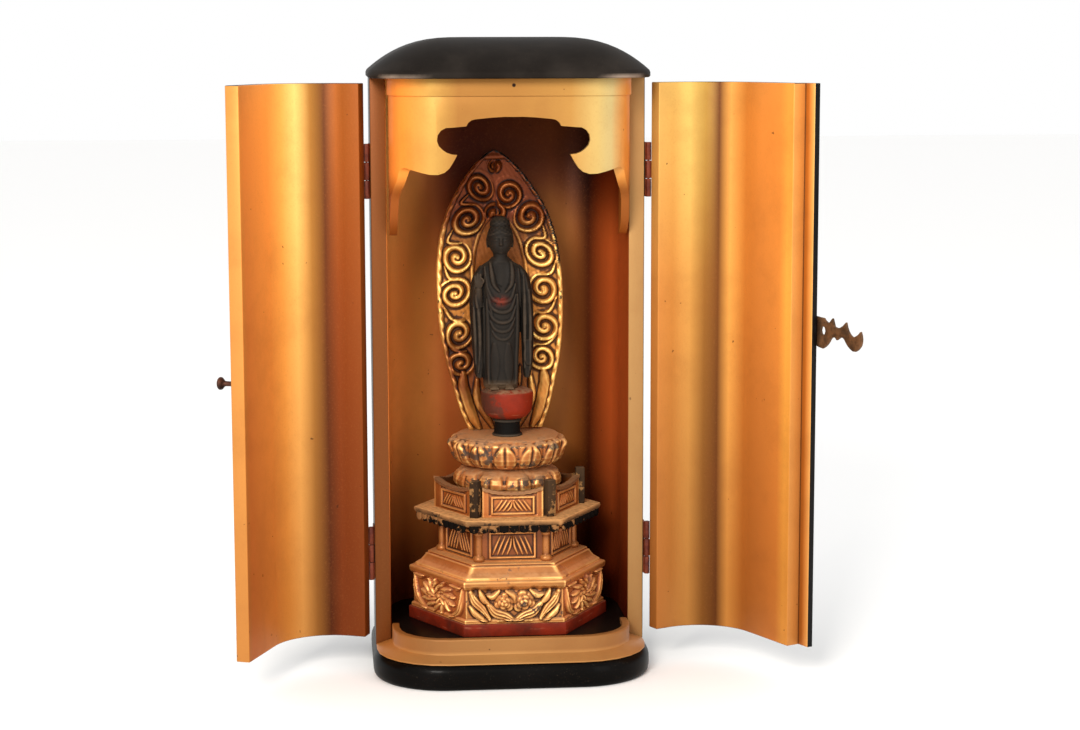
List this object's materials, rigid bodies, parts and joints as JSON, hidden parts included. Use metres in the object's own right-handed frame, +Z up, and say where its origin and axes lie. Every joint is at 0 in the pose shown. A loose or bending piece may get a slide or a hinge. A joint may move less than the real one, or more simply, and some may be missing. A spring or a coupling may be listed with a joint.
{
  "type": "household altar cabinet",
  "caption": "Round-cornered lacquered shrine cabinet with curved hinged doors, a hook latch and a standing robed figure on a tiered hexagonal pedestal.",
  "frame": {"origin": "middle of the base's underside, on the surface that the cabinet stands on", "axes": "+Z up, -Y out of the open front, +X to the viewer's right"},
  "size_m": [0.2917, 0.1463, 0.303],
  "materials": {
    "black_lacquer": "polished black lacquer, worn at the edges",
    "gold_lacquer": "satin gold lacquer inside, black lacquer outside",
    "carved_gold": "aged gilding over carved wood, dark in the recesses and dusty on top",
    "red_lacquer": "old red lacquer",
    "dark_wood": "darkened wood with dust",
    "old_bronze": "brown patinated metal",
    "hinge_copper": "dull copper"
  },
  "bodies": {
    "cabinet": {"base_plinth": "black_lacquer", "cabinet_shell": "gold_lacquer", "cap": "black_lacquer", "carved_plinth": "carved_gold", "dado": "carved_gold", "figure_cup": "red_lacquer", "floor_panel": "black_lacquer", "footing_plate": "red_lacquer", "gallery_panel_back": "carved_gold", "gallery_panel_back_left": "carved_gold", "gallery_panel_back_right": "carved_gold", "gallery_panel_front": "carved_gold", "gallery_panel_front_left": "carved_gold", "gallery_panel_front_right": "carved_gold", "gallery_post_back_left": "dark_wood", "gallery_post_back_right": "dark_wood", "gallery_post_front_left": "dark_wood", "gallery_post_front_right": "dark_wood", "gallery_post_right": "dark_wood", "halo_board": "carved_gold", "hex_slab": "dark_wood", "left_lower_hinge_body_leaf": "hinge_copper", "left_lower_hinge_pin": "hinge_copper", "left_upper_hinge_body_leaf": "hinge_copper", "left_upper_hinge_pin": "hinge_copper", "lotus_lower": "carved_gold", "lotus_upper": "carved_gold", "right_lower_hinge_body_leaf": "hinge_copper", "right_lower_hinge_pin": "hinge_copper", "right_upper_hinge_body_leaf": "hinge_copper", "right_upper_hinge_pin": "hinge_copper", "standing_figure": "dark_wood", "step_moulding": "carved_gold", "threshold_sill": "gold_lacquer", "top_rail": "gold_lacquer", "valance": "gold_lacquer"},
    "left_door": {"door_knob": "old_bronze", "left_door_panel": "gold_lacquer", "left_lower_hinge_door_leaf": "hinge_copper", "left_upper_hinge_door_leaf": "hinge_copper"},
    "right_door": {"closing_strip": "black_lacquer", "latch_rivet": "old_bronze", "right_door_panel": "gold_lacquer", "right_lower_hinge_door_leaf": "hinge_copper", "right_upper_hinge_door_leaf": "hinge_copper"},
    "latch": {"latch_hook": "old_bronze"}
  },
  "joints": [
    {"name": "left_door_hinge", "type": "hinge", "parent": "cabinet", "child": "left_door", "pos_m": [-0.0667, -0.0142, 0.15], "axis": [0, 0, -1], "range_deg": [-111.6, 58.4]},
    {"name": "right_door_hinge", "type": "hinge", "parent": "cabinet", "child": "right_door", "pos_m": [0.0667, -0.0142, 0.15], "axis": [0, 0, 1], "range_deg": [-115.8, 54.2]},
    {"name": "latch_pivot", "type": "hinge", "parent": "right_door", "child": "latch", "pos_m": [0.13559, -0.05137, 0.1711], "axis": [0.9003, 0.4352, 0], "range_deg": [-90, 51.6]}
  ]
}
